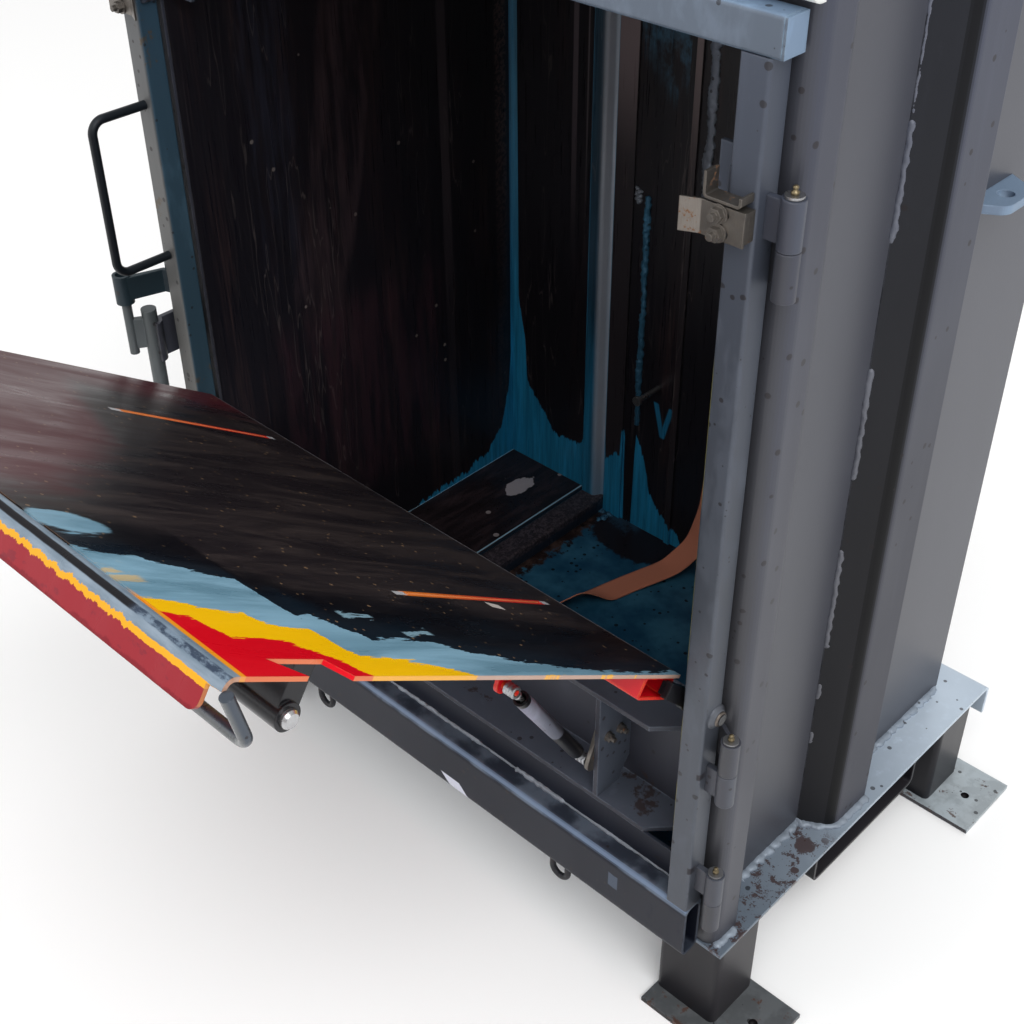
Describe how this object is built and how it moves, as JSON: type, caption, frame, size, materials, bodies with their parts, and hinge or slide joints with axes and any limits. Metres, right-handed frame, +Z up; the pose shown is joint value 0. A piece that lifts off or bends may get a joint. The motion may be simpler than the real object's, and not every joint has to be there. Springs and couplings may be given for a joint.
{
  "type": "recycling baler",
  "caption": "Upright recycling baler: a steel chamber on four feet, a hinged door with a tilting loading flap, and a vertical press above.",
  "frame": {"origin": "centre of the four anchor holes, at floor level", "axes": "+Z up, the door faces -Y, +X to the right seen from the door"},
  "size_m": [1.294, 1.4301, 2.492],
  "materials": {
    "grey_paint": "semi-gloss grey paint with scuffs",
    "side_paint": "blue-grey paint",
    "base_paint": "light blue-grey paint, scuffed",
    "foot_steel": "scratched and rusty steel",
    "chamber_black": "worn black paint with blue left in the corners",
    "post_beige": "worn paint, beige at the front",
    "panel_paint": "dark grey paint, stained",
    "cream_paint": "pale paint",
    "dark_paint": "dark worn paint",
    "flap_paint": "glossy black worn to blue, yellow and red",
    "red_paint": "red paint with orange edges",
    "black_steel": "black",
    "bare_steel": "bare steel",
    "zinc": "zinc plate",
    "webbing": "woven orange webbing",
    "green_button": "green",
    "black_button": "black",
    "red_button": "red"
  },
  "bodies": {
    "frame": {"base_plate": "base_paint", "front_legs": "grey_paint", "rear_legs": "grey_paint", "foot_plates": "foot_steel", "fork_channel": "grey_paint", "floor_step": "chamber_black", "floor_bar": "chamber_black", "side_wall_right": "side_paint", "side_wall_left": "chamber_black", "front_column_right": "grey_paint", "front_column_left": "grey_paint", "side_rib_right": "grey_paint", "side_rib_left": "grey_paint", "back_wall": "chamber_black", "back_ribs": "grey_paint", "lashing_eyes": "grey_paint", "strap_peg": "bare_steel", "head_plate": "grey_paint", "head_cover": "cream_paint", "eject_strap": "webbing", "press_cylinder": "dark_paint", "cylinder_gland": "bare_steel", "head_bolts": "zinc", "power_tank": "grey_paint", "power_motor": "dark_paint", "control_box": "dark_paint", "frame_knuckles": "grey_paint", "hinge_pins": "bare_steel", "bolt_guide": "grey_paint"},
    "door": {"door_post_right": "grey_paint", "door_post_left": "post_beige", "door_top_bar": "base_paint", "door_bottom_rail": "grey_paint", "door_apron": "grey_paint", "door_panel": "panel_paint", "spring_gussets": "panel_paint", "spring_studs": "zinc", "door_handle": "dark_paint", "rail_hooks": "grey_paint", "flap_strikes": "zinc", "flap_stops": "grey_paint", "door_fasteners": "zinc", "door_knuckles": "grey_paint", "bolt_keeper": "dark_paint"},
    "flap": {"flap_plate": "flap_paint", "flap_stiffener": "red_paint", "flap_pins": "black_steel", "latch_housings": "black_steel", "flap_handle": "bare_steel", "spring_brackets": "red_paint"},
    "latch_right": {"latch_bolt_right": "zinc"},
    "latch_left": {"latch_bolt_left": "zinc"},
    "barrels": {"spring_barrels": "black_steel"},
    "rods": {"spring_rods": "zinc"},
    "drop_bolt": {"door_bolt": "dark_paint"},
    "press": {"press_plate": "dark_paint", "press_rod": "bare_steel"},
    "start": {"start_button": "green_button"},
    "return": {"return_button": "black_button"},
    "stop": {"emergency_stop": "red_button"}
  },
  "joints": [
    {"name": "door_hinge", "type": "hinge", "parent": "frame", "child": "door", "pos_m": [0.551, -0.368, 0.83], "axis": [0, 0, 1], "range_deg": [0, 105]},
    {"name": "flap_hinge", "type": "hinge", "parent": "door", "child": "flap", "pos_m": [0, -0.364, 0.6255], "axis": [-1, 0, 0], "range_deg": [0, 55.7]},
    {"name": "latch_right_slide", "type": "slide", "parent": "flap", "child": "latch_right", "axis": [1, 0, 0], "range_m": [0, 0.025]},
    {"name": "latch_left_slide", "type": "slide", "parent": "flap", "child": "latch_left", "axis": [-1, 0, 0], "range_m": [0, 0.025]},
    {"name": "spring_barrel_hinge", "type": "hinge", "parent": "door", "child": "barrels", "pos_m": [0, -0.3533, 0.3878], "axis": [-1, 0, 0], "range_deg": [0, 16.6]},
    {"name": "spring_rod_hinge", "type": "hinge", "parent": "flap", "child": "rods", "pos_m": [0, -0.49663, 0.61828], "axis": [-1, 0, 0], "range_deg": [-39.3, 0]},
    {"name": "drop_bolt_slide", "type": "slide", "parent": "frame", "child": "drop_bolt", "axis": [0, 0, 1], "range_m": [0, 0.014]},
    {"name": "press_slide", "type": "slide", "parent": "frame", "child": "press", "axis": [0, 0, -1], "range_m": [0, 0.7]},
    {"name": "start_press", "type": "slide", "parent": "frame", "child": "start", "axis": [0, 1, 0], "range_m": [0, 0.005], "stiffness_N_per_m": 600},
    {"name": "return_press", "type": "slide", "parent": "frame", "child": "return", "axis": [0, 1, 0], "range_m": [0, 0.005], "stiffness_N_per_m": 600},
    {"name": "stop_press", "type": "slide", "parent": "frame", "child": "stop", "axis": [0, 1, 0], "range_m": [0, 0.005]}
  ],
  "couplings": [
    {"joint": "spring_barrel_hinge", "follows": "flap_hinge", "ratio": 0.296},
    {"joint": "spring_rod_hinge", "follows": "flap_hinge", "ratio": -0.704}
  ]
}
